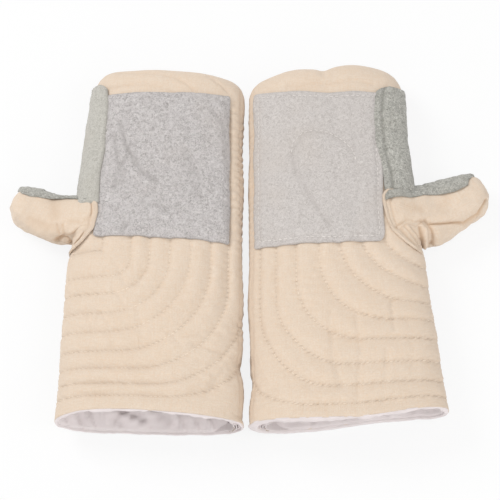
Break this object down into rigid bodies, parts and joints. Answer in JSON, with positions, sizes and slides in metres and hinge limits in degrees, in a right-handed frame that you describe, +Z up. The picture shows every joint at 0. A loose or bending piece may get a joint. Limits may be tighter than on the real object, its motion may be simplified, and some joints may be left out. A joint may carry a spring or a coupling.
{
  "type": "cryogenic gloves",
  "caption": "Pair of quilted canvas mittens for handling very cold things, with suede palm patches and suede finger and thumb strips, wide lined cuffs, and wrists and thumbs that fold.",
  "frame": {"origin": "On the surface that the pair lies on, under the centre of the pair's bounding box.", "axes": "+Z up. +Y from the arm openings to the fingertips. +X to the right, from the left mitten to the right mitten. The palms face up and the thumbs point outwards."},
  "size_m": [0.4606, 0.37, 0.056],
  "materials": {
    "canvas": "plain-woven cream cotton canvas, quilted, matt",
    "pale_suede": "pale warm grey split suede with a rough nap",
    "green_suede": "grey-green suede with a short fuzzy nap",
    "batting": "white fibre wadding",
    "lining": "thin white cotton lining, slightly pink, creased"
  },
  "bodies": {
    "left_cuff": {"left_cuff_palm_canvas": "canvas", "left_cuff_back_canvas": "canvas", "left_cuff_palm_batting": "batting", "left_cuff_back_batting": "batting", "left_cuff_palm_lining": "lining", "left_cuff_back_lining": "lining", "left_cuff_hem": "lining"},
    "left_hand": {"left_hand_palm_canvas": "canvas", "left_hand_back_canvas": "canvas", "left_hand_palm_batting": "batting", "left_hand_back_batting": "batting", "left_hand_palm_lining": "lining", "left_hand_back_lining": "lining", "left_palm_patch": "pale_suede", "left_edge_strip": "green_suede"},
    "left_thumb": {"left_thumb_palm_canvas": "canvas", "left_thumb_back_canvas": "canvas", "left_thumb_palm_batting": "batting", "left_thumb_back_batting": "batting", "left_thumb_palm_lining": "lining", "left_thumb_back_lining": "lining", "left_thumb_strip": "green_suede"},
    "right_cuff": {"right_cuff_palm_canvas": "canvas", "right_cuff_back_canvas": "canvas", "right_cuff_palm_batting": "batting", "right_cuff_back_batting": "batting", "right_cuff_palm_lining": "lining", "right_cuff_back_lining": "lining", "right_cuff_hem": "lining"},
    "right_hand": {"right_hand_palm_canvas": "canvas", "right_hand_back_canvas": "canvas", "right_hand_palm_batting": "batting", "right_hand_back_batting": "batting", "right_hand_palm_lining": "lining", "right_hand_back_lining": "lining", "right_palm_patch": "pale_suede", "right_edge_strip": "green_suede"},
    "right_thumb": {"right_thumb_palm_canvas": "canvas", "right_thumb_back_canvas": "canvas", "right_thumb_palm_batting": "batting", "right_thumb_back_batting": "batting", "right_thumb_palm_lining": "lining", "right_thumb_back_lining": "lining", "right_thumb_strip": "green_suede"}
  },
  "joints": [
    {"name": "left_wrist_fold", "type": "hinge", "parent": "left_cuff", "child": "left_hand", "pos_m": [-0.0889, -0.025, 0.05], "axis": [1, 0, 0], "range_deg": [0, 70]},
    {"name": "left_thumb_fold", "type": "hinge", "parent": "left_hand", "child": "left_thumb", "pos_m": [-0.16714, 0.0165, 0.03978], "axis": [0.1258, 0.9921, 0], "range_deg": [0, 80]},
    {"name": "right_mitten_lift", "type": "slide", "parent": "left_cuff", "child": "right_cuff", "axis": [0, 0, 1], "range_m": [0, 0.2]},
    {"name": "right_wrist_fold", "type": "hinge", "parent": "right_cuff", "child": "right_hand", "pos_m": [0.0825, -0.025, 0.05], "axis": [1, 0, 0], "range_deg": [0, 70]},
    {"name": "right_thumb_fold", "type": "hinge", "parent": "right_hand", "child": "right_thumb", "pos_m": [0.16074, 0.0165, 0.03978], "axis": [0.1258, -0.9921, 0], "range_deg": [0, 80]}
  ]
}
